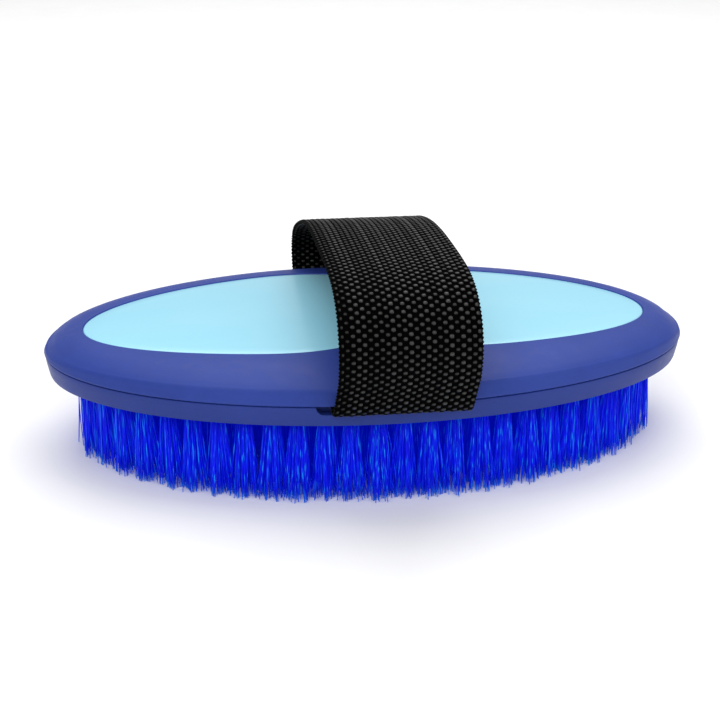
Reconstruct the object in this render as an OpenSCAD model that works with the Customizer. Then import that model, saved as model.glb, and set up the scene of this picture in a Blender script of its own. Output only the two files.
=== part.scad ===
// Oval body brush for horses: soft rubber rim on a hard shell, bristle block and webbing hand strap.
// Millimetres. The origin is on the ground under the centre of the brush, with +X along its length and
// +Z up. The brush stands on its bristles.

/* [Body] */
// Length over the rubber rim
body_length = 200; // [196:1:208]
// Width over the rubber rim
body_width = 108; // [106:1:112]
// Height of the parting line, where the rim meets the bristle block
lip_z = 30.4; // [30:0.1:31]
// Height of the crown at the middle
crown_z = 42; // [41.5:0.1:43]
// Fall of the crown from the middle to the edge of the rim
crown_fall = 6.4; // [5.8:0.1:6.6]
// Radius of the body's two ends, seen from above
end_r = 36; // [33:0.5:40]

/* [Panel] */
// Half the length of the smooth panel
panel_half_length = 88; // [84:0.5:90]
// Half the width of the smooth panel
panel_half_width = 36.3; // [34:0.1:38]
// Radius of the panel's two ends
panel_end_r = 19; // [17:0.5:21]
// Half the panel's width at its waist, beside the strap
panel_waist = 31; // [29:0.5:33]
// How far the panel lies below the rubber round it
panel_drop = 0.3; // [0:0.1:0.5]

/* [Walls] */
// Thickness of the rubber over the shell
rubber_wall = 1.8; // [1.5:0.1:2]
// Thickness of the hard shell
shell_wall = 2; // [1.6:0.1:2.2]
// Clearance between pieces that fit together
fit = 0.05; // [0.03:0.01:0.08]

/* [Bristle block] */
// Height of the block's lower face above the ground
block_z = 24; // [23:0.5:24]
// Step from the rim in to the block's wall
block_step = 1.2; // [0.6:0.1:1.6]
// Radius of a tuft at its tip
tuft_tip_r = 3.6; // [3:0.1:3.6]
// Radius of a tuft where it enters the block
tuft_root_r = 2.1; // [1.8:0.1:2.1]
// Depth of a tuft hole
tuft_hole_depth = 5; // [4:0.5:5]

/* [Hand strap] */
// Width of the webbing
strap_width = 40; // [30:1:41]
// Thickness of the webbing
strap_thick = 1.6; // [1.2:0.1:1.6]
// Width of the slot that the webbing passes through
slot_width = 44; // [42:1:46]

/* [Hidden] */
$fn = 72;

rim_blue = [0.16, 0.22, 0.55];
panel_blue = [0.64, 0.90, 0.98];
bristle_blue = [0.03, 0.12, 0.92];
webbing_black = [0.08, 0.08, 0.08];
steel = [0.72, 0.73, 0.75];

half_length = body_length / 2;
half_width = body_width / 2;
crown_r_along = (pow(half_length, 2) + pow(crown_fall, 2)) / (2 * crown_fall);
crown_r_across = (pow(half_width, 2) + pow(crown_fall, 2)) / (2 * crown_fall);
top_z = 60;
spigot_rise = 0.6;
spigot_z = lip_z + spigot_rise;
beyond = 1;
through = 12;
pilot_gap = 0.2;
tip_gap = 0.4;
panel_bite_r = 138;

// Closed rings of tufts: inset of the ring from the rim along X and along Y, number of places and
// where the first place is, as a part of one step. skip lists the places that hold a screw instead.
ring_gap = 9;
ring_inset_x = 11.5;
ring_inset_y = 7.5;
ring_count = [56, 44, 36, 28, 20];
ring_start = [0.5, 0, 0.5, 0.5, 0.5];
ring_skip = [[], [0, 22], [4, 13, 22, 31], [], []];
row_count = 9;
row_step = 9.6;

hole_r = tuft_root_r + 0.1;
hole_top_z = block_z + tuft_hole_depth;
staple_size = [3.2, 0.5, 0.9];

slot_floor_z = lip_z - 2.6;
slot_corner_r = 2.4;
slot_height = 4;
slot_inner_y = half_width - 4.6;
relief_width = strap_width + 3;
relief_y = half_width - 8.6;
relief_floor_z = hole_top_z + 0.6;
relief_top_z = lip_z + 3;
notch_y = half_width - 2.2;
notch_rise = 0.6;

clamp_size = [34, 7, 0.8];
clamp_y = half_width - 21;
clamp_z = spigot_z + strap_thick + 3 * fit;
strap_screw_x = 12.9;
strap_screw_r = 1;
strap_screw_head = [2, 1.2];
strap_screw_depth = 3.4;
strap_head_z = clamp_z + clamp_size.z + fit;

boss_r = 3.4;
shell_screw_r = 1.2;
shell_screw_head = [2.3, 1.8];
shell_screw_sink = 0.3;
shell_screw_top = [34, 35.4];

// Half of the webbing's route as [distance outside the rim, height], from its end inside the body,
// out through the slot and up. The front leg rises steeply and the back leg leans in over the panel.
strap_tail = [
    [-30, 31.85], [-26, 31.85], [-18, 31.85], [-8.7, 31.85], [-6.4, 31.6], [-4.7, 30.75],
    [-3.1, 29.7], [-1.1, 29.15], [1.3, 29.15], [2.85, 30.3]
];
strap_front_leg = [[3.8, 32], [5.2, 36], [7.2, 41.5], [8.2, 47], [7.5, 53], [4.4, 59], [-1, 63.4]];
strap_back_leg = [[4.6, 32.6], [7.2, 36], [8.2, 40.5], [5.8, 45.6], [-0.4, 50.2]];
// Middle of the route as [Y, Z]
strap_crown = [
    [-45, 66], [-34, 66.9], [-20, 67], [-6, 66.5], [8, 64.9], [21, 62.1], [33, 58.5], [44, 54.6]
];
strap_steps = 3;

function reversed(list) = [for (i = [len(list) - 1:-1:0]) list[i]];
function unit(v) = v / norm(v);

// Radius of the long sides of an oval drawn with four arcs that meet smoothly
function side_radius(a, b, r) = (a * a - 2 * a * r + b * b) / (2 * (b - r));

// Angle on an ellipse at which the length along its curve is a given part of the whole
function even_angle(turn, a, b, passes) =
    passes == 0 ? turn
    : turn + (a - b) / (a + b) * 90 / PI * sin(2 * even_angle(turn, a, b, passes - 1));

function ring_a(ring) = half_length - ring_inset_x - ring * ring_gap;
function ring_b(ring) = half_width - ring_inset_y - ring * ring_gap;
function ring_place(ring, i) =
    let (t = even_angle(360 * (i + ring_start[ring]) / ring_count[ring], ring_a(ring), ring_b(ring), 5))
    [ring_a(ring) * cos(t), ring_b(ring) * sin(t)];
function is_skipped(ring, i) = len([for (s = ring_skip[ring]) if (s == i) s]) > 0;
function ring_tufts(ring) =
    [for (i = [0:ring_count[ring] - 1]) if (!is_skipped(ring, i)) ring_place(ring, i)];
function row_tufts() = [for (i = [0:row_count - 1]) [(i - (row_count - 1) / 2) * row_step, 0]];
function screw_places(ring) = [for (i = ring_skip[ring]) ring_place(ring, i)];

function spline_point(p, q, r, s, t) =
    (2 * q + (r - p) * t + (2 * p - 5 * q + 4 * r - s) * t * t + (3 * q - p - 3 * r + s) * t * t * t) / 2;
function spline(points, steps) = [
    for (i = [1:len(points) - 3], k = [0:steps - 1])
        spline_point(points[i - 1], points[i], points[i + 1], points[i + 2], k / steps),
    points[len(points) - 2]
];
function normal(route, i) =
    let (along = unit(route[min(i + 1, len(route) - 1)] - route[max(i - 1, 0)]))
    [-along.y, along.x];
function beside(route, distance) = [for (i = [0:len(route) - 1]) route[i] + distance * normal(route, i)];

function at_front(points) = [for (p = points) [-half_width - p.x, p.y]];
function at_back(points) = [for (p = reversed(points)) [half_width + p.x, p.y]];
function strap_route() = spline(concat(
    at_front(strap_tail), at_front(strap_front_leg), strap_crown, at_back(strap_back_leg),
    at_back(strap_tail)), strap_steps);

// Upright prism on an oval of four arcs: half length a, half width b, end radius r
module oval_prism(a, b, r, from_z, to_z) {
    side_r = side_radius(a, b, r);
    joint_x = side_r * (a - r) / (side_r - r);
    translate([0, 0, from_z]) {
        intersection() {
            intersection_for (side = [-1, 1])
                translate([0, side * (side_r - b), 0])
                    cylinder(h = to_z - from_z, r = side_r, $fn = 360);
            translate([-joint_x, -b - beyond, -beyond])
                cube([2 * joint_x, 2 * (b + beyond), to_z - from_z + 2 * beyond]);
        }
        for (end = [-1, 1])
            translate([end * (a - r), 0, 0])
                cylinder(h = to_z - from_z, r = r, $fn = 120);
    }
}

// Everything below the crowned top, which curves both along and across the body
module under_crown(drop) {
    reach = half_width + 8;
    swing = 20;
    translate([0, 0, crown_z - drop - crown_r_along])
        rotate([-90, -90 - swing / 2, 0])
            rotate_extrude(angle = swing, $fn = 720)
                intersection() {
                    translate([crown_r_along - crown_r_across, 0])
                        circle(crown_r_across, $fn = 720);
                    translate([crown_r_along - top_z, -reach])
                        square([top_z + beyond, 2 * reach]);
                }
}

// Solid under the crown, with its wall drawn in by inset and its top lowered by drop
module dome(inset, drop, bottom_z) {
    intersection() {
        oval_prism(half_length - inset, half_width - inset, end_r - inset, bottom_z, top_z);
        under_crown(drop);
    }
}

// Upright prism with the outline of the smooth panel
module panel_prism(gap) {
    difference() {
        oval_prism(panel_half_length + gap, panel_half_width + gap, panel_end_r + gap,
            lip_z - beyond, top_z);
        for (side = [-1, 1])
            translate([0, side * (panel_waist + gap + panel_bite_r), block_z - beyond])
                cylinder(h = top_z, r = panel_bite_r, $fn = 360);
    }
}

// Room for the webbing inside the wall of the shell and over the edge of the block
module strap_relief(inner_y, outer_y, from_z, to_z) {
    for (side = [-1, 1])
        translate([-relief_width / 2, side > 0 ? inner_y : -outer_y, from_z])
            cube([relief_width, outer_y - inner_y, to_z - from_z]);
}

module top_shell() {
    color(panel_blue)
        difference() {
            union() {
                difference() {
                    union() {
                        dome(rubber_wall + fit, rubber_wall + fit, lip_z);
                        intersection() {
                            dome(rubber_wall / 2, panel_drop, lip_z);
                            panel_prism(0);
                        }
                    }
                    dome(rubber_wall + shell_wall, rubber_wall + shell_wall, lip_z - beyond);
                }
                intersection() {
                    dome(rubber_wall + shell_wall / 2, rubber_wall + shell_wall / 2, lip_z);
                    for (ring = [1, 2], place = screw_places(ring))
                        translate([place.x, place.y, spigot_z + fit])
                            cylinder(h = through, r = boss_r, $fn = 36);
                }
            }
            for (ring = [1, 2], place = screw_places(ring))
                translate([place.x, place.y, lip_z])
                    cylinder(h = shell_screw_top[ring - 1] + tip_gap - lip_z, r = shell_screw_r + fit,
                        $fn = 24);
            strap_relief(relief_y, half_width - rubber_wall, lip_z - beyond, relief_top_z);
        }
}

module grip_rim() {
    color(rim_blue)
        difference() {
            dome(0, 0, lip_z);
            dome(rubber_wall, rubber_wall, lip_z - beyond);
            panel_prism(fit);
            strap_relief(relief_y, notch_y, lip_z - beyond, lip_z + notch_rise);
        }
}

// Slot for the webbing in the edge of the block, with round lower corners
module strap_slot() {
    for (side = [-1, 1])
        translate([0, side > 0 ? slot_inner_y : -slot_inner_y, slot_floor_z])
            rotate([side > 0 ? -90 : 90, 0, 0])
                mirror([0, side > 0 ? 1 : 0, 0])
                    linear_extrude(through) {
                        translate([-slot_width / 2 + slot_corner_r, 0])
                            square([slot_width - 2 * slot_corner_r, slot_height]);
                        translate([-slot_width / 2, slot_corner_r])
                            square([slot_width, slot_height - slot_corner_r]);
                        for (x = [-1, 1])
                            translate([x * (slot_width / 2 - slot_corner_r), slot_corner_r])
                                circle(slot_corner_r, $fn = 32);
                    }
}

module tuft_holes(places) {
    for (place = places)
        translate([place.x, place.y, block_z - beyond])
            cylinder(h = tuft_hole_depth + beyond, r = hole_r, $fn = 24);
}

module base_plate() {
    spigot_inset = rubber_wall + shell_wall + pilot_gap;
    color(rim_blue)
        difference() {
            union() {
                oval_prism(half_length - block_step, half_width - block_step, end_r - block_step,
                    block_z, lip_z - fit);
                oval_prism(half_length - spigot_inset, half_width - spigot_inset, end_r - spigot_inset,
                    lip_z - beyond, spigot_z);
            }
            for (ring = [0:4])
                tuft_holes(ring_tufts(ring));
            tuft_holes(row_tufts());
            for (ring = [1, 2], place = screw_places(ring))
                translate([place.x, place.y, block_z - beyond]) {
                    cylinder(h = through, r = shell_screw_r + pilot_gap, $fn = 24);
                    cylinder(h = beyond + shell_screw_sink + fit + shell_screw_head.y,
                        r = shell_screw_head.x + 2 * fit, $fn = 24);
                }
            for (x = [-1, 1], y = [-1, 1])
                translate([x * strap_screw_x, y * clamp_y, spigot_z - strap_screw_depth - pilot_gap])
                    cylinder(h = through, r = strap_screw_r + fit, $fn = 24);
            strap_slot();
            strap_relief(relief_y, slot_inner_y + fit, relief_floor_z, relief_top_z);
        }
}

module hand_strap() {
    route = strap_route();
    color(webbing_black)
        difference() {
            rotate([90, 0, 90])
                linear_extrude(strap_width, center = true)
                    polygon(concat(
                        beside(route, strap_thick / 2), reversed(beside(route, -strap_thick / 2))));
            for (x = [-1, 1], y = [-1, 1])
                translate([x * strap_screw_x, y * clamp_y, spigot_z - beyond])
                    cylinder(h = through, r = strap_screw_r + 2 * fit, $fn = 24);
        }
}

module strap_clamp(side) {
    color(steel)
        difference() {
            translate([-clamp_size.x / 2, side * clamp_y - clamp_size.y / 2, clamp_z])
                cube(clamp_size);
            for (x = [-1, 1])
                translate([x * strap_screw_x, side * clamp_y, clamp_z - beyond])
                    cylinder(h = through, r = strap_screw_r + 2 * fit, $fn = 24);
        }
}

module strap_screws(side) {
    color(steel)
        for (x = [-1, 1])
            translate([x * strap_screw_x, side * clamp_y, 0]) {
                translate([0, 0, spigot_z - strap_screw_depth])
                    cylinder(h = strap_head_z - spigot_z + strap_screw_depth, r = strap_screw_r, $fn = 24);
                translate([0, 0, strap_head_z])
                    cylinder(h = strap_screw_head.y, r = strap_screw_head.x, $fn = 24);
            }
}

module shell_screws() {
    color(steel)
        for (ring = [1, 2], place = screw_places(ring))
            translate([place.x, place.y, block_z + shell_screw_sink]) {
                cylinder(h = shell_screw_head.y, r = shell_screw_head.x, $fn = 24);
                cylinder(h = shell_screw_top[ring - 1] - block_z - shell_screw_sink, r = shell_screw_r,
                    $fn = 24);
            }
}

// Bundles of filaments, each drawn as one cone that fills its hole at the top
module tufts(places) {
    color(bristle_blue)
        for (place = places)
            translate([place.x, place.y, 0]) {
                cylinder(h = block_z, r1 = tuft_tip_r, r2 = tuft_root_r, $fn = 24);
                translate([0, 0, block_z])
                    cylinder(h = tuft_hole_depth - staple_size.z - fit, r = tuft_root_r, $fn = 24);
            }
}

// Wire anchors that hold the folded tufts at the bottom of their holes
module staples(places) {
    color(steel)
        for (place = places)
            translate([place.x - staple_size.x / 2, place.y - staple_size.y / 2, hole_top_z - staple_size.z])
                cube(staple_size);
}

top_shell();
grip_rim();
base_plate();
hand_strap();
strap_clamp(-1);  // strap_clamp_front
strap_clamp(1);  // strap_clamp_back
strap_screws(-1);  // strap_screws_front
strap_screws(1);  // strap_screws_back
shell_screws();
tufts(ring_tufts(0));  // tufts_ring_1
tufts(ring_tufts(1));  // tufts_ring_2
tufts(ring_tufts(2));  // tufts_ring_3
tufts(ring_tufts(3));  // tufts_ring_4
tufts(ring_tufts(4));  // tufts_ring_5
tufts(row_tufts());  // tufts_centre_row
staples(ring_tufts(0));  // staples_ring_1
staples(ring_tufts(1));  // staples_ring_2
staples(ring_tufts(2));  // staples_ring_3
staples(ring_tufts(3));  // staples_ring_4
staples(ring_tufts(4));  // staples_ring_5
staples(row_tufts());  // staples_centre_row
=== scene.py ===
"""Oval body brush: moulded rim, shell and block, woven hand strap and tufts of filaments on the CAD frame.

Lengths in this script are in millimetres in the CAD frame, and MM turns them into metres.
"""
import math
import random

import bmesh
import bpy
import numpy as np
from mathutils import Matrix, Vector


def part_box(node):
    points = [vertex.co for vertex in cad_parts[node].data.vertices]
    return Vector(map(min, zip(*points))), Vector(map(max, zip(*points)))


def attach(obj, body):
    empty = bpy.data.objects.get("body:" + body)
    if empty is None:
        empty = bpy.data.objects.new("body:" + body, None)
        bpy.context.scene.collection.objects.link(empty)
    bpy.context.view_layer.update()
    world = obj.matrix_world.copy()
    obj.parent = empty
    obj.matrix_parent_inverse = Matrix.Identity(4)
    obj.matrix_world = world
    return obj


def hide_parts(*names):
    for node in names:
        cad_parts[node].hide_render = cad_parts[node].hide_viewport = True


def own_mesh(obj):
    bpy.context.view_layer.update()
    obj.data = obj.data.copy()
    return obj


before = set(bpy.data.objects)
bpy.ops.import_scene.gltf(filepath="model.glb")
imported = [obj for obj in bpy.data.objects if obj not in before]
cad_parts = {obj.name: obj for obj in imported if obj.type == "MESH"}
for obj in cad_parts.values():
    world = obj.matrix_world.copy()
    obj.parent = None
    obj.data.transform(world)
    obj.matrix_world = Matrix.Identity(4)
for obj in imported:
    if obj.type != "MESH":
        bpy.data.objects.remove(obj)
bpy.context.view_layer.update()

MM = 0.001
BODY = "brush"
SEED = 7

# The body and the strap, from their CAD nodes
RIM_LOW, RIM_HIGH = [np.array(corner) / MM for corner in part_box("grip_rim")]
BLOCK_LOW = np.array(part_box("base_plate")[0]) / MM
STRAP_LOW, STRAP_HIGH = [np.array(corner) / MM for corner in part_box("hand_strap")]
HALF_LENGTH = round(RIM_HIGH[0])
HALF_WIDTH = round(RIM_HIGH[1])
LIP_Z = RIM_LOW[2]
BLOCK_Z = BLOCK_LOW[2]
STRAP_WIDTH = STRAP_HIGH[0] - STRAP_LOW[0]

# The smooth panel: an oval whose long sides are pinched by the waist, and how far its surface falls
PANEL_HALF_LENGTH = 88.0
PANEL_HALF_WIDTH = 36.8
PANEL_TOP_Z = 41.9
PANEL_FALL_ALONG = 5.0
PANEL_FALL_ACROSS = 1.9
PANEL_WALL = 2.2
WAIST_DEPTH = 5.8
WAIST_REACH = 17.0

# The rubber rim
RIM_ABOVE_PANEL = 0.25
RIM_BELLY = 0.9
RIM_LEAN = 0.9
RIM_WALL = 1.8

# The slots for the strap and the counterbores for the screws, in the bristle block
SLOT_HALF_WIDTH = 22.0
SLOT_DEPTH = 2.6
SLOT_INNER_Y = 49.4
SLOT_CORNER_R = 2.4
BORE_R = 2.4
BORE_TOP_Z = 26.5

# Angles round the body at which its outlines have points
ROUND_STEPS = 432
ANGLES = [2 * math.pi * k / ROUND_STEPS for k in range(ROUND_STEPS)]


# ---------------------------------------------------------------- small helpers

def mesh_piece(name, verts, faces, material, body):
    """A mesh object in metres from millimetre points, riding on a body."""
    mesh = bpy.data.meshes.new(name)
    mesh.from_pydata((np.asarray(verts, float) * MM).tolist(), [], faces)
    mesh.validate()
    mesh.update()
    piece = bpy.data.objects.new(name, mesh)
    bpy.context.scene.collection.objects.link(piece)
    mesh.materials.append(material)
    mesh.polygons.foreach_set("use_smooth", [True] * len(mesh.polygons))
    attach(piece, body)
    return piece


def face_outward(piece):
    """Makes all the normals of a closed mesh point outward."""
    work = bmesh.new()
    work.from_mesh(piece.data)
    bmesh.ops.recalc_face_normals(work, faces=work.faces)
    work.to_mesh(piece.data)
    work.free()


def grid_faces(rows, columns, close_rows=False):
    """Quads of a grid of points stored row by row, each row a closed ring."""
    faces = []
    for i in range(rows if close_rows else rows - 1):
        for j in range(columns):
            i2 = (i + 1) % rows
            j2 = (j + 1) % columns
            faces.append((i * columns + j, i2 * columns + j, i2 * columns + j2, i * columns + j2))
    return faces


def end_faces(rows, columns):
    """The two faces that close the first and the last ring of such a grid."""
    last = (rows - 1) * columns
    return [tuple(range(columns)), tuple(range(last + columns - 1, last - 1, -1))]


def solid_places(node):
    """Centre of each separate solid of a CAD node, in millimetres."""
    work = bmesh.new()
    work.from_mesh(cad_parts[node].data)
    bmesh.ops.remove_doubles(work, verts=work.verts, dist=1e-6)
    left = set(work.verts)
    places = []
    while left:
        island = [left.pop()]
        for vert in island:
            for edge in vert.link_edges:
                other = edge.other_vert(vert)
                if other in left:
                    left.remove(other)
                    island.append(other)
        points = np.array([vert.co for vert in island])
        places.append((points.min(0) + points.max(0)) / 2 / MM)
    work.free()
    return sorted(places, key=lambda p: (round(math.atan2(p[1], p[0]), 3), round(p[0], 2)))


# ---------------------------------------------------------------- materials

class Shader:
    """A Principled material with a short way to add nodes to it."""

    def __init__(self, name, **settings):
        self.material = bpy.data.materials.new(name)
        self.material.use_nodes = True
        self.tree = self.material.node_tree
        self.main = self.tree.nodes["Principled BSDF"]
        for socket, value in settings.items():
            self.main.inputs[socket.replace("_", " ")].default_value = value
        self.place = self.add("ShaderNodeTexCoord").outputs["Object"]

    def add(self, kind, **values):
        node = self.tree.nodes.new(kind)
        for key, value in values.items():
            setattr(node, key, value)
        return node

    def link(self, source, target):
        self.tree.links.new(source, target)

    def stretched(self, scale):
        """Object coordinates multiplied by a scale along each axis."""
        mapping = self.add("ShaderNodeMapping")
        mapping.inputs["Scale"].default_value = scale
        self.link(self.place, mapping.inputs["Vector"])
        return mapping.outputs["Vector"]

    def noise(self, scale, detail=3.0, roughness=0.5, at=None):
        texture = self.add("ShaderNodeTexNoise")
        texture.inputs["Scale"].default_value = scale
        texture.inputs["Detail"].default_value = detail
        texture.inputs["Roughness"].default_value = roughness
        self.link(self.place if at is None else at, texture.inputs["Vector"])
        return texture.outputs["Fac"]

    def ramp(self, value, stops):
        """A colour ramp with (position, colour) stops."""
        node = self.add("ShaderNodeValToRGB")
        while len(node.color_ramp.elements) < len(stops):
            node.color_ramp.elements.new(0.5)
        for element, (position, colour) in zip(node.color_ramp.elements, stops):
            element.position = position
            element.color = (*colour, 1.0)
        self.link(value, node.inputs["Fac"])
        return node.outputs["Color"]

    def span(self, value, low, high, out_low, out_high):
        node = self.add("ShaderNodeMapRange")
        limits = {"From Min": low, "From Max": high, "To Min": out_low, "To Max": out_high}
        for socket, number in limits.items():
            node.inputs[socket].default_value = number
        self.link(value, node.inputs["Value"])
        return node.outputs["Result"]

    def mix(self, factor, first, second):
        node = self.add("ShaderNodeMix", data_type="RGBA")
        self.link(factor, node.inputs["Factor"])
        self.link(first, node.inputs["A"])
        self.link(second, node.inputs["B"])
        return node.outputs["Result"]

    def multiply(self, first, second):
        node = self.add("ShaderNodeMix", data_type="RGBA", blend_type="MULTIPLY")
        node.inputs["Factor"].default_value = 1.0
        self.link(first, node.inputs["A"])
        self.link(second, node.inputs["B"])
        return node.outputs["Result"]

    def height(self, *layers):
        """Bump from (value, depth in millimetres) layers, the coarsest first."""
        normal = None
        for value, depth in layers:
            bump = self.add("ShaderNodeBump")
            bump.inputs["Distance"].default_value = depth * MM
            self.link(value, bump.inputs["Height"])
            if normal is not None:
                self.link(normal, bump.inputs["Normal"])
            normal = bump.outputs["Normal"]
        self.link(normal, self.main.inputs["Normal"])

    def colour(self, value):
        self.link(value, self.main.inputs["Base Color"])

    def roughness(self, value):
        self.link(value, self.main.inputs["Roughness"])


def moulded_material(name, dark, light, roughness):
    """Moulded rubber or plastic: satin, finely matted, with a faint bloom and handling marks."""
    shader = Shader(name, Specular_IOR_Level=0.22)
    bloom = shader.noise(38, 5, 0.6)
    marks = shader.noise(260, 4, 0.65)
    tone = shader.ramp(bloom, [(0.3, dark), (0.7, light)])
    worn = shader.ramp(marks, [(0.35, [c * 0.93 for c in dark]), (0.75, [c * 1.12 for c in light])])
    shader.colour(shader.mix(shader.span(marks, 0.4, 0.7, 0.1, 0.4), tone, worn))
    shader.roughness(shader.span(marks, 0.3, 0.7, roughness - 0.05, roughness + 0.07))
    shader.height((shader.noise(900, 4, 0.6), 0.03), (shader.noise(3600, 2, 0.5), 0.012))
    return shader.material


def panel_material():
    """Hard glossy plastic with a faint flow pattern and fine dust."""
    shader = Shader("panel_plastic", Specular_IOR_Level=0.5, Coat_Weight=0.25, Coat_Roughness=0.12)
    flow = shader.noise(16, 4, 0.5, shader.stretched((0.6, 1.6, 1)))
    speck = shader.noise(700, 2, 0.5)
    tone = shader.ramp(flow, [(0.3, (0.30, 0.70, 0.88)), (0.7, (0.35, 0.73, 0.89))])
    dust = shader.ramp(speck, [(0.72, (1, 1, 1)), (0.84, (0.97, 0.98, 0.985))])
    shader.colour(shader.multiply(tone, dust))
    shader.roughness(shader.span(speck, 0.3, 0.8, 0.29, 0.37))
    shader.height((flow, 0.05), (shader.noise(1400, 2, 0.5, shader.stretched((0.3, 1, 1))), 0.004))
    return shader.material


def webbing_material():
    """Black polypropylene yarn. The raised parts shine a little, and the gaps between them are painted near
    black as shade and get no shine.
    """
    shader = Shader("webbing_yarn", Sheen_Weight=0.06, Sheen_Roughness=0.4)
    fibre = shader.noise(1, 3, 0.6, shader.stretched((5200, 900, 900)))
    batch = shader.noise(640, 2, 0.6)
    tone = shader.ramp(fibre, [(0.3, (0.008, 0.010, 0.008)), (0.7, (0.046, 0.051, 0.044))])
    faded = shader.ramp(batch, [(0.3, (0.35, 0.35, 0.35)), (0.7, (1.0, 1.0, 1.0))])
    yarn = shader.multiply(tone, faded)
    raised = shader.add("ShaderNodeAttribute", attribute_name="raised").outputs["Fac"]
    # Painted shade: the low parts of the weave between the raised yarns get a near-black colour.
    painted_gap_shade = shader.ramp(fibre, [(0.3, (0.0005, 0.0006, 0.0005)), (0.7, (0.0012, 0.0016, 0.0012))])
    shader.colour(shader.mix(shader.span(raised, 0.6, 1.0, 0.0, 1.0), painted_gap_shade, yarn))
    shader.link(shader.span(raised, 0.62, 1.0, 0.0, 0.6), shader.main.inputs["Specular IOR Level"])
    shader.roughness(shader.span(batch, 0.3, 0.7, 0.5, 0.38))
    shader.height((fibre, 0.05))
    return shader.material


def bristle_material():
    """Bright blue nylon filament, varied from one filament to the next, with painted azure highlight
    streaks and a faint painted glow, and paler at its cut end.
    """
    # The faint blue emission is a painted glow that stands in for light carried through the nylon.
    shader = Shader("bristle_nylon", Specular_IOR_Level=0.16, Emission_Strength=0.08)
    shader.main.inputs["Emission Color"].default_value = (0.0, 0.02, 1.0, 1.0)
    streak = shader.noise(1, 2, 0.5, shader.stretched((1500, 1500, 12)))
    # The ramp gives each filament its own tone of blue, and its palest azure stop paints highlight streaks
    # along the filaments.
    tone = shader.ramp(streak, [
        (0.30, (0.001, 0.001, 0.70)),
        (0.48, (0.001, 0.006, 0.92)),
        (0.57, (0.002, 0.04, 0.95)),
        (0.66, (0.01, 0.28, 0.97)),
    ])
    split = shader.add("ShaderNodeSeparateXYZ")
    shader.link(shader.place, split.inputs["Vector"])
    ends = shader.ramp(streak, [(0.3, (0.006, 0.10, 0.85)), (0.65, (0.04, 0.42, 0.95))])
    near_tip = shader.span(split.outputs["Z"], 2.6 * MM, 0.1 * MM, 0.0, 0.9)
    shader.colour(shader.mix(near_tip, tone, ends))
    shader.roughness(shader.span(streak, 0.3, 0.7, 0.55, 0.38))
    shader.height((shader.noise(1, 2, 0.5, shader.stretched((6000, 6000, 60))), 0.02))
    return shader.material


def steel_material():
    """Zinc plated steel with drawing marks."""
    shader = Shader("zinc_steel", Metallic=1.0)
    marks = shader.noise(1, 4, 0.6, shader.stretched((300, 2600, 2600)))
    shader.colour(shader.ramp(marks, [(0.3, (0.46, 0.47, 0.49)), (0.7, (0.66, 0.67, 0.69))]))
    shader.roughness(shader.span(marks, 0.3, 0.7, 0.28, 0.45))
    shader.height((marks, 0.01))
    return shader.material


# ---------------------------------------------------------------- outlines, crown and rim

def oval(t, inset=0.0):
    """Point and outward normal of the rim's outline at angle t, drawn in by inset."""
    point = np.array([HALF_LENGTH * math.cos(t), HALF_WIDTH * math.sin(t)])
    normal = np.array([HALF_WIDTH * math.cos(t), HALF_LENGTH * math.sin(t)])
    normal /= np.linalg.norm(normal)
    return point - inset * normal, normal


def panel_edge(t, grow=0.0):
    """Point of the panel's outline at angle t. Its two long sides are pinched at the strap."""
    x = (PANEL_HALF_LENGTH + grow) * math.cos(t)
    waist = WAIST_DEPTH * math.exp(-((x / WAIST_REACH) ** 2))
    y = (PANEL_HALF_WIDTH + grow - waist) * math.sin(t)
    return np.array([x, y])


def panel_z(x, y):
    """Height of the panel's surface."""
    return (PANEL_TOP_Z - PANEL_FALL_ACROSS * (y / PANEL_HALF_WIDTH) ** 2
            - PANEL_FALL_ALONG * (x / PANEL_HALF_LENGTH) ** 2)


def rim_section(t):
    """Closed section of the rubber rim at angle t, as (point, height).

    It goes from the inner edge beside the panel over the slope to the crease, down the leaning band
    to the lip, and back under the lip. Toward the body's ends the band gets low and the crease soft.
    """
    side = math.sin(t) ** 2
    crease_z = LIP_Z + 0.9 + 4.3 * (side + 0.02) ** 0.3
    soft = 0.5 + 1.1 * (1 - side) ** 4
    inner = panel_edge(t)
    inner_z = panel_z(*inner) + RIM_ABOVE_PANEL
    crease, normal = oval(t, RIM_LEAN)
    slope = crease - inner
    run = np.linalg.norm(slope)
    toward = slope / run
    section = [
        (inner - toward * 0.2, inner_z - 1.6),
        (inner, inner_z - 0.45),
        (inner + toward * 0.12, inner_z - 0.14),
        (inner + toward * 0.4, inner_z),
    ]
    for part in np.linspace(0.06, 1 - 1.4 * soft / run, 9):
        belly = RIM_BELLY * math.sin(math.pi * part)
        section.append((inner + slope * part, inner_z + (crease_z - inner_z) * part + belly))
    drop = (inner_z - crease_z) / run
    for turn in (0.25, 0.6):
        back_off = soft * (1 - turn)
        z = crease_z + drop * back_off * 0.6 - soft * 0.16 * turn
        section.append((crease - toward * back_off * 0.8, z))
    section.append((crease + normal * 0.08, crease_z - soft * 0.5))
    lip_top_z = LIP_Z + 0.7
    for part in (0.35, 0.7, 0.9):
        z = lip_top_z + (crease_z - lip_top_z) * (1 - part)
        section.append((crease + normal * (0.1 + 0.72 * part), z))
    for inset, rise in ((0.0, 0.55), (0.12, 0.25), (0.45, 0.05), (1.0, 0.0), (RIM_WALL, 0.0), (1.9, 2.2)):
        section.append((oval(t, inset)[0], LIP_Z + rise))
    return section


def build_rim(material):
    """The rubber rim, as a ring of sections."""
    sections = [[(*point, z) for point, z in rim_section(t)] for t in ANGLES]
    verts = [point for section in sections for point in section]
    faces = grid_faces(ROUND_STEPS, len(sections[0]), close_rows=True)
    rim = mesh_piece("soft_rim", verts, faces, material, BODY)
    face_outward(rim)
    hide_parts("grip_rim")
    return rim


# ---------------------------------------------------------------- shell and block

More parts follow.
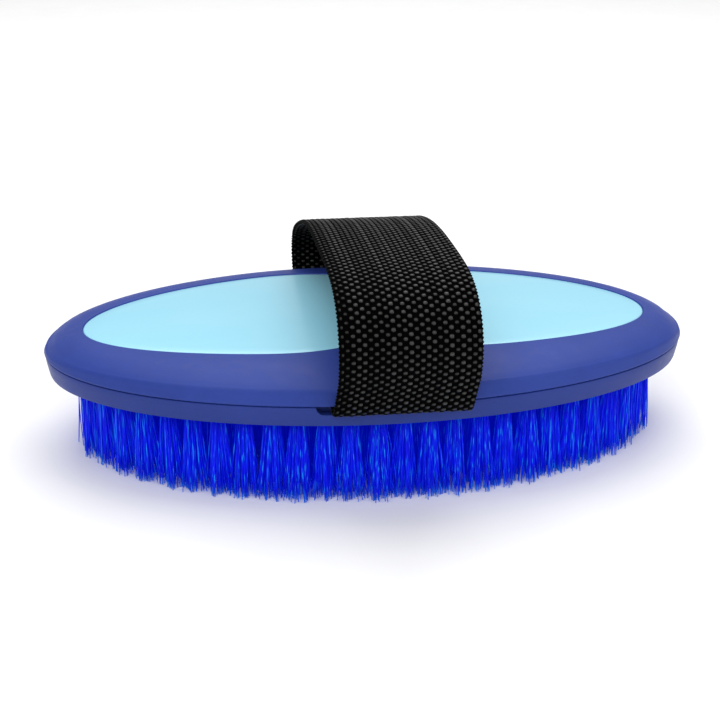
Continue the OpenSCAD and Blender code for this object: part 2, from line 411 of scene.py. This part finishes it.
def panel_cap(drop, edge_rows, ring_count):
    """Points and faces of one side of the panel, lowered by drop.

    edge_rows are (growth of the outline, change in height), and inside them ring_count - 1 rings
    lead to a fan at the centre.
    """
    rows = []
    for grow, change in edge_rows:
        row = [panel_edge(t, grow) for t in ANGLES]
        rows.append([(p[0], p[1], panel_z(*p) - drop + change) for p in row])
    for part in np.linspace(1, 0, ring_count + 1)[1:-1]:
        row = [panel_edge(t, edge_rows[-1][0]) * part for t in ANGLES]
        rows.append([(p[0], p[1], panel_z(*p) - drop) for p in row])
    verts = [point for row in rows for point in row] + [(0, 0, PANEL_TOP_Z - drop)]
    faces = grid_faces(len(rows), ROUND_STEPS)
    first = (len(rows) - 1) * ROUND_STEPS
    centre = len(verts) - 1
    faces += [(first + k, centre, first + (k + 1) % ROUND_STEPS) for k in range(ROUND_STEPS)]
    return verts, faces


def build_panel(material):
    """The part of the hard shell that shows: the crowned panel, its rounded edge and its underside."""
    verts, faces = panel_cap(0, [(-0.02, -1.5), (-0.05, -0.3), (-0.18, -0.08), (-0.5, 0.0)], 14)
    low_verts, low_faces = panel_cap(PANEL_WALL, [(-0.02, 0.0)], 6)
    shift = len(verts)
    verts += low_verts
    faces += [tuple(i + shift for i in face) for face in low_faces]
    for k in range(ROUND_STEPS):
        after = (k + 1) % ROUND_STEPS
        faces.append((k, after, shift + after, shift + k))
    panel = mesh_piece("shell_panel", verts, faces, material, BODY)
    face_outward(panel)
    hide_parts("top_shell")
    return panel


def cut(piece, cutters):
    """Takes the cutters away from a piece with the exact solver, and deletes them."""
    for cutter in cutters:
        modifier = piece.modifiers.new("cut", "BOOLEAN")
        modifier.object = cutter
        modifier.operation = "DIFFERENCE"
        modifier.solver = "EXACT"
        with bpy.context.temp_override(object=piece, active_object=piece):
            bpy.ops.object.modifier_apply(modifier=modifier.name)
        bpy.data.objects.remove(cutter)


def prism_cutter(outline, start, end, place):
    """A closed prism used only to cut. place turns an outline point and a depth into a 3-D point."""
    verts = [place(a, b, depth) for depth in (start, end) for a, b in outline]
    faces = grid_faces(2, len(outline)) + end_faces(2, len(outline))
    mesh = bpy.data.meshes.new("cutter")
    mesh.from_pydata((np.array(verts) * MM).tolist(), [], faces)
    cutter = bpy.data.objects.new("cutter", mesh)
    bpy.context.scene.collection.objects.link(cutter)
    face_outward(cutter)
    return cutter


def slot_outline():
    """Outline of the strap's slot with round lower corners, as (x, z) points."""
    corner_x = SLOT_HALF_WIDTH - SLOT_CORNER_R
    corner_z = LIP_Z - SLOT_DEPTH + SLOT_CORNER_R
    high = LIP_Z + 2
    left = [(-corner_x - SLOT_CORNER_R * math.cos(a), corner_z - SLOT_CORNER_R * math.sin(a))
            for a in np.linspace(0, math.pi / 2, 7)]
    right = [(-x, z) for x, z in reversed(left)]
    return [(-SLOT_HALF_WIDTH, high)] + left + right + [(SLOT_HALF_WIDTH, high)]


def block_cutters():
    """The two slots for the strap and the counterbores of the shell screws."""
    cutters = []
    for side in (-1, 1):
        cutters.append(prism_cutter(slot_outline(), side * SLOT_INNER_Y, side * (HALF_WIDTH + 6),
                                    lambda x, z, y: (x, y, z)))
    circle = [(BORE_R * math.cos(a), BORE_R * math.sin(a)) for a in np.linspace(0, 2 * math.pi, 25)[:-1]]
    for screw in solid_places("shell_screws"):
        cutters.append(prism_cutter(circle, BLOCK_Z - 4, BORE_TOP_Z,
                                    lambda x, y, z, s=screw: (x + s[0], y + s[1], z)))
    return cutters


def build_block(material):
    """The bristle block: its wall leans in to the bottom and its edges are round."""
    top_z = LIP_Z - 0.1
    wall = [
        (3.0, top_z), (1.0, top_z), (0.6, top_z - 0.08), (0.38, top_z - 0.3), (0.32, top_z - 0.7),
        (0.55, 28.0), (0.95, 26.0), (1.25, BLOCK_Z + 0.6), (1.45, BLOCK_Z + 0.15), (1.9, BLOCK_Z),
    ]
    verts = [(*oval(t, inset)[0], z) for inset, z in wall for t in ANGLES]
    faces = grid_faces(len(wall), ROUND_STEPS) + end_faces(len(wall), ROUND_STEPS)
    block = mesh_piece("bristle_block", verts, faces, material, BODY)
    face_outward(block)
    cut(block, block_cutters())
    block.data.polygons.foreach_set("use_smooth", [True] * len(block.data.polygons))
    block.data.set_sharp_from_angle(angle=math.radians(35))
    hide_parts("base_plate")
    return block


# ---------------------------------------------------------------- hand strap

# The webbing's route in the CAD. Tails, feet and legs are (distance outside the body, height), and each
# foot runs through the slot. The crown is (y, height).
STRAP_FOOT = [(-3.1, 29.7), (-1.1, 29.15), (1.3, 29.15), (2.85, 30.3)]
STRAP_TAIL = [(-30, 31.85), (-26, 31.85), (-18, 31.85), (-8.7, 31.85), (-6.4, 31.6), (-4.7, 30.75)]
STRAP_FRONT_LEG = [(3.8, 32), (5.2, 36), (7.2, 41.5), (8.2, 47), (7.5, 53), (4.4, 59), (-1, 63.4)]
STRAP_BACK_LEG = [(4.6, 32.6), (7.2, 36), (8.2, 40.5), (5.8, 45.6), (-0.4, 50.2)]
STRAP_CROWN = [(-45, 66), (-34, 66.9), (-20, 67), (-6, 66.5), (8, 64.9), (21, 62.1), (33, 58.5), (44, 54.6)]

# The weave: warp yarns across the strap, length of one pick along it, and mesh steps in each
WARPS = 25
PICK = 1.2
YARN_STEPS = 5
PICK_STEPS = 4
HALF_THICK = 0.6
WARP_RISE = 0.24
WARP_ROUND = 0.34
WEFT_RISE = 0.10
WEFT_ROUND = 0.26
WEFT_SUNK = 0.34
YARN_FULLNESS = 1.9

# How far the strap lies to the right, and how much more its front leg does
SWAY = 1.0
FRONT_SWAY = 2.1


def spline(points, steps=24):
    """A Catmull-Rom curve through all but the first and the last point."""
    p = np.array(points, float)
    out = []
    for i in range(1, len(p) - 2):
        for k in range(steps):
            t = k / steps
            out.append((2 * p[i] + (p[i + 1] - p[i - 1]) * t
                        + (2 * p[i - 1] - 5 * p[i] + 4 * p[i + 1] - p[i + 2]) * t * t
                        + (3 * p[i] - p[i - 1] - 3 * p[i + 1] + p[i + 2]) * t ** 3) / 2)
    out.append(p[-2])
    return np.array(out)


def even_route(points, step):
    """Points, unit tangents and lengths along a curve, about one step apart."""
    gaps = np.linalg.norm(np.diff(points, axis=0), axis=1)
    along = np.concatenate([[0], np.cumsum(gaps)])
    count = int(along[-1] / step) + 1
    at = np.linspace(0, along[-1], count)
    even = np.stack([np.interp(at, along, points[:, k]) for k in range(2)], 1)
    tangent = np.gradient(even, axis=0)
    tangent /= np.linalg.norm(tangent, axis=1)[:, None]
    return even, tangent, at


def front(points):
    """A half route on the side of the camera, as (y, z)."""
    return [(-HALF_WIDTH - out, z) for out, z in points]


def back(points):
    """A half route on the far side, as (y, z), from the top down."""
    return [(HALF_WIDTH + out, z) for out, z in reversed(points)]


def weave_height(across, along):
    """Height of a plain weave at (warps across, picks along): the higher of the warp and the weft yarn."""
    warp = np.floor(across)
    pick = np.floor(along)
    over = np.cos(np.pi * (along - 0.5 + warp))
    warp_round = np.sqrt(np.clip(1 - (YARN_FULLNESS * (across - warp - 0.5)) ** 2, 0, 1))
    under = np.cos(np.pi * (across - 0.5 + pick + 1))
    weft_round = np.sqrt(np.clip(1 - (YARN_FULLNESS * (along - pick - 0.5)) ** 2, 0, 1))
    warp_height = WARP_RISE * over + WARP_ROUND * (warp_round - 1)
    weft_height = WEFT_RISE * under + WEFT_ROUND * (weft_round - 1) - WEFT_SUNK
    return np.maximum(warp_height, weft_height)


def sway(y, z):
    """How far the webbing lies to the right: most on the front leg, less in its slot and at the back."""
    forward = min(1, max(0, (STRAP_HIGH[1] - y) / (STRAP_HIGH[1] - STRAP_LOW[1])))
    rise = min(1, max(0, (z - LIP_Z) / 10))
    return SWAY + FRONT_SWAY * forward ** 3 * (0.6 + 0.4 * rise)


def webbing(name, points, body, material):
    """A length of webbing along a route in the Y and Z plane, both faces woven, with scalloped edges."""
    route, tangent, at = even_route(points, PICK / PICK_STEPS)
    normal = np.stack([-tangent[:, 1], tangent[:, 0]], 1)
    columns = WARPS * YARN_STEPS + 1
    across = np.linspace(0, WARPS, columns)
    inside = np.clip(across, 0.02, WARPS - 0.02)
    warp = inside.astype(int)
    along = at / PICK
    edge = np.minimum(across, WARPS - across)
    near_edge = np.clip(edge / 0.9, 0, 1)
    taper = np.sqrt(near_edge * (2 - near_edge))
    rng = np.random.default_rng(SEED)
    yarn_shift = 0.1 * rng.standard_normal(WARPS)[warp]
    yarn_level = 0.035 * rng.standard_normal(WARPS)[warp]
    verts = []
    raised = []
    for i in range(len(route)):
        top = HALF_THICK + weave_height(inside, along[i] + yarn_shift) + yarn_level
        low = HALF_THICK + weave_height(inside, along[i] + yarn_shift + 1) + yarn_level
        x = (across / WARPS - 0.5) * (STRAP_WIDTH - 0.4)
        scallop = 0.16 * math.cos(2 * math.pi * along[i])
        x = x + np.sign(x) * np.clip(1 - edge, 0, 1) * scallop + sway(*route[i])
        for heights, sign, order in ((top * taper, 1, 1), (low * taper, -1, -1)):
            y = route[i, 0] + sign * heights * normal[i, 0]
            z = route[i, 1] + sign * heights * normal[i, 1]
            strip = np.stack([x, y, z], 1)[::order]
            verts.append(strip[:-1])
            raised.append(heights[::order][:-1])
    ring = 2 * (columns - 1)
    verts = np.concatenate(verts)
    faces = grid_faces(len(route), ring) + end_faces(len(route), ring)
    strap = mesh_piece(name, verts, faces, material, body)
    # The raised value of each point also sets where the painted shade in the weave's gaps goes.
    level = np.clip((np.concatenate(raised) - HALF_THICK + 0.35) / 0.6, 0, 1)
    strap.data.attributes.new("raised", "FLOAT", "POINT").data.foreach_set("value", level)
    face_outward(strap)
    return strap


def build_strap(material):
    """The loop, and its two ends, which stay between the shell and the block."""
    foot = STRAP_TAIL[-1:] + STRAP_FOOT
    loop = spline(front(foot + STRAP_FRONT_LEG) + STRAP_CROWN + back(foot + STRAP_BACK_LEG))
    strap = webbing("webbing_loop", loop, BODY, material)
    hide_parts("hand_strap")
    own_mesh(strap)
    tail = STRAP_TAIL + STRAP_FOOT[:2]
    webbing("strap_end_front", spline(front(tail)), BODY, material)
    webbing("strap_end_back", spline(back(tail)), BODY, material)


# ---------------------------------------------------------------- bristles

# Filaments in one tuft, and the tuft's radius in its hole and at its tips
FILAMENTS = 72
FILAMENT_SIDES = 4
FILAMENT_R = 0.17
CUT_END_SHARE = 0.82
ROOT_R = 2.05
TIP_R = 4.5
ROOT_ABOVE_FACE = 1.2

# The outermost tufts are at these distances. The long sides' tufts lean outward and the ends' inward.
OUTER_RING_X = 88.5
OUTER_RING_Y = 46.5
OUTWARD_LEAN = 2.4
INWARD_LEAN = 1.6


def filament(rng, place, root_z, lean):
    """Points of one filament's axis, from inside the hole to its cut end, as (x, y, z, radius)."""
    part = math.sqrt(rng.random())
    turn = rng.random() * 2 * math.pi
    root = Vector((math.cos(turn), math.sin(turn))) * part * ROOT_R
    tip_turn = turn + rng.gauss(0, 0.3)
    tip_part = min(1.15, part * (0.92 + 0.16 * rng.gauss(0, 1)) + 0.06)
    tip = Vector((math.cos(tip_turn), math.sin(tip_turn))) * tip_part * TIP_R + lean
    bow = Vector((rng.gauss(0, 0.25), rng.gauss(0, 0.25)))
    end_z = min(1.6, abs(rng.gauss(0, 0.35)))
    points = []
    for s in (0.0, 0.32, 0.68, 1.0):
        flat = root.lerp(tip, s ** 1.08) + bow * math.sin(math.pi * s)
        z = root_z + (end_z - root_z) * s
        radius = FILAMENT_R if s < 1 else FILAMENT_R * CUT_END_SHARE
        points.append((place[0] + flat.x, place[1] + flat.y, z, radius))
    return points


def build_tufts(node, material, rng):
    """All the filaments of one CAD node's tufts, as one mesh of thin closed rods."""
    verts = []
    faces = []
    for place in solid_places(node):
        clump = Vector((rng.gauss(0, 0.45), rng.gauss(0, 0.45)))
        clump.y += OUTWARD_LEAN * (place[1] / OUTER_RING_Y) ** 3
        clump.x -= INWARD_LEAN * (place[0] / OUTER_RING_X) ** 5
        for _ in range(FILAMENTS):
            points = filament(rng, place, BLOCK_Z + ROOT_ABOVE_FACE, clump)
            spin = rng.random() * math.pi
            first = len(verts)
            for x, y, z, radius in points:
                for k in range(FILAMENT_SIDES):
                    a = spin + 2 * math.pi * k / FILAMENT_SIDES
                    verts.append((x + radius * math.cos(a), y + radius * math.sin(a), z))
            rod = grid_faces(len(points), FILAMENT_SIDES) + end_faces(len(points), FILAMENT_SIDES)
            faces += [tuple(first + i for i in face) for face in rod]
    tufts = mesh_piece(node.replace("tufts", "filaments"), verts, faces, material, BODY)
    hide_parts(node)
    return tufts


# ---------------------------------------------------------------- stage

# The point that the lights and the camera look at, in metres
LOOK_AT = Vector((0, 0, 0.03))
FLOOR_HALF = 4.0
DAYLIGHT = 0.48

CAMERA_AZIMUTH = -8.0
CAMERA_ELEVATION = 21.4
CAMERA_DISTANCE = 0.45
CAMERA_ROLL = 0.42
CAMERA_LENS = 71.5
CAMERA_SHIFT = (-0.0120, -0.0315)


def area_light(name, place, size, power):
    """A soft square light that looks at the brush. Place and size are in metres."""
    data = bpy.data.lights.new(name, "AREA")
    data.shape = "SQUARE"
    data.size = size
    data.energy = power
    light = bpy.data.objects.new(name, data)
    light.location = place
    light.rotation_euler = (LOOK_AT - Vector(place)).to_track_quat("-Z", "Y").to_euler()
    bpy.context.scene.collection.objects.link(light)


def floor_material():
    """A plain pale floor with a barely seen grain."""
    shader = Shader("pale_floor", Roughness=0.9, Specular_IOR_Level=0.1)
    grain = shader.noise(40, 3, 0.5)
    shader.colour(shader.ramp(grain, [(0.3, (0.94, 0.94, 0.94)), (0.7, (0.96, 0.96, 0.96))]))
    return shader.material


def build_floor():
    """One flat face under the brush."""
    signs = ((-1, -1), (1, -1), (1, 1), (-1, 1))
    mesh = bpy.data.meshes.new("floor")
    mesh.from_pydata([(x * FLOOR_HALF, y * FLOOR_HALF, 0) for x, y in signs], [], [(0, 1, 2, 3)])
    floor = bpy.data.objects.new("floor", mesh)
    bpy.context.scene.collection.objects.link(floor)
    mesh.materials.append(floor_material())


def build_lights():
    """Three soft lights in an even white surrounding."""
    area_light("key", (-0.5, -0.9, 1.1), 0.9, 7.5)
    area_light("fill", (0.9, -0.8, 0.7), 1.0, 3.5)
    area_light("top", (0.1, 0.5, 1.2), 1.2, 11)
    world = bpy.data.worlds.new("studio")
    world.use_nodes = True
    background = world.node_tree.nodes["Background"]
    background.inputs["Color"].default_value = (1, 1, 1, 1)
    background.inputs["Strength"].default_value = DAYLIGHT
    bpy.context.scene.world = world
    bpy.context.scene.view_settings.view_transform = "Standard"


def build_camera():
    """The camera stands where the photograph was taken from."""
    data = bpy.data.cameras.new("camera")
    data.lens = CAMERA_LENS
    data.sensor_width = 36.0
    data.shift_x, data.shift_y = CAMERA_SHIFT
    data.clip_start = 0.01
    azimuth = math.radians(CAMERA_AZIMUTH)
    elevation = math.radians(CAMERA_ELEVATION)
    away = Vector((math.sin(azimuth) * math.cos(elevation), -math.cos(azimuth) * math.cos(elevation),
                   math.sin(elevation)))
    camera = bpy.data.objects.new("camera", data)
    camera.location = LOOK_AT + away * CAMERA_DISTANCE
    look = (-away).to_track_quat("-Z", "Y").to_matrix().to_4x4()
    camera.rotation_euler = (look @ Matrix.Rotation(math.radians(CAMERA_ROLL), 4, "Z")).to_euler()
    bpy.context.scene.collection.objects.link(camera)
    bpy.context.scene.camera = camera


# ---------------------------------------------------------------- the whole object

build_camera()
build_lights()
build_floor()

build_rim(moulded_material("rim_rubber", (0.019, 0.045, 0.27), (0.025, 0.056, 0.32), 0.44))
build_panel(panel_material())
build_block(moulded_material("block_plastic", (0.015, 0.036, 0.22), (0.020, 0.044, 0.26), 0.40))
build_strap(webbing_material())

bristle = bristle_material()
dice = random.Random(SEED)
for node_name in sorted(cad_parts):
    if node_name.startswith("tufts"):
        build_tufts(node_name, bristle, dice)

zinc_steel = steel_material()
for node_name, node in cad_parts.items():
    if node_name.startswith(("staples", "strap_clamp", "strap_screws", "shell_screws")):
        node.data.materials.clear()
        node.data.materials.append(zinc_steel)
